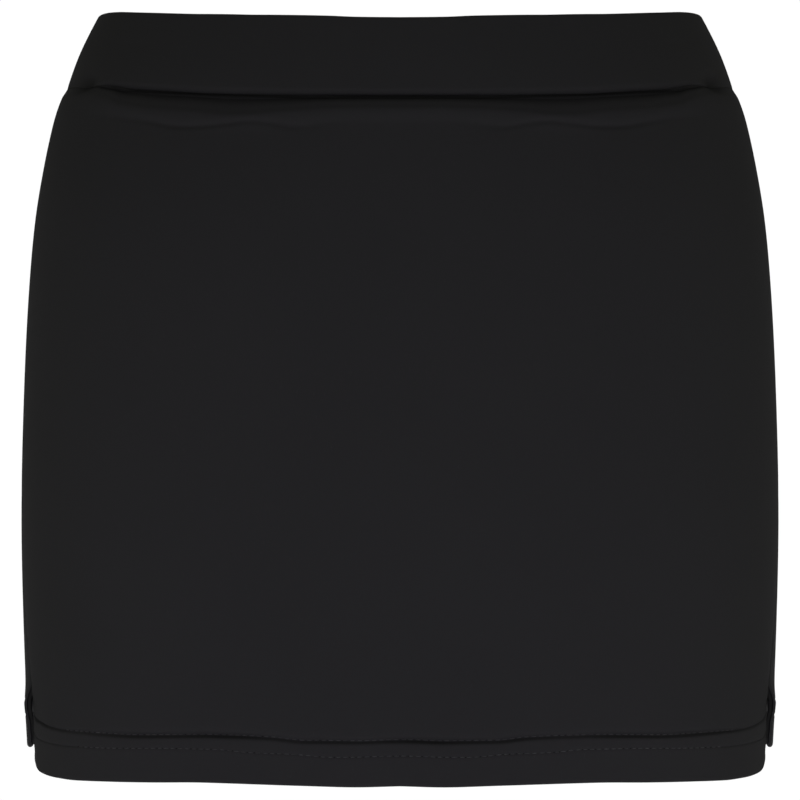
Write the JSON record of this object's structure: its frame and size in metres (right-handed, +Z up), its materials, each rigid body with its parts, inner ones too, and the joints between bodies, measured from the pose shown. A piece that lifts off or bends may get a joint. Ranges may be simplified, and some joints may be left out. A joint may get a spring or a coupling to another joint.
{
  "type": "tennis skort",
  "caption": "Short fitted skirt over inner shorts, with a wide waistband, a turned-up hem and a small slit at each side seam, rounded out as worn.",
  "frame": {"origin": "centre of the waist, half way down the waistband at the side seams, where the wearer holds the garment up", "axes": "+Z up through the waist, -Y to the wearer's front, +X to the right of a front view, which is the wearer's left"},
  "size_m": [0.3506, 0.2422, 0.3508],
  "materials": {
    "band_knit": "matt black double-layer stretch knit",
    "skirt_knit": "matt black smooth stretch knit",
    "shorts_knit": "matt black fine stretch knit"
  },
  "bodies": {
    "root": {"waistband_front": "band_knit", "waistband_back": "band_knit", "skirt_front": "skirt_knit", "skirt_back": "skirt_knit", "shorts_left": "shorts_knit", "shorts_right": "shorts_knit"}
  },
  "joints": []
}
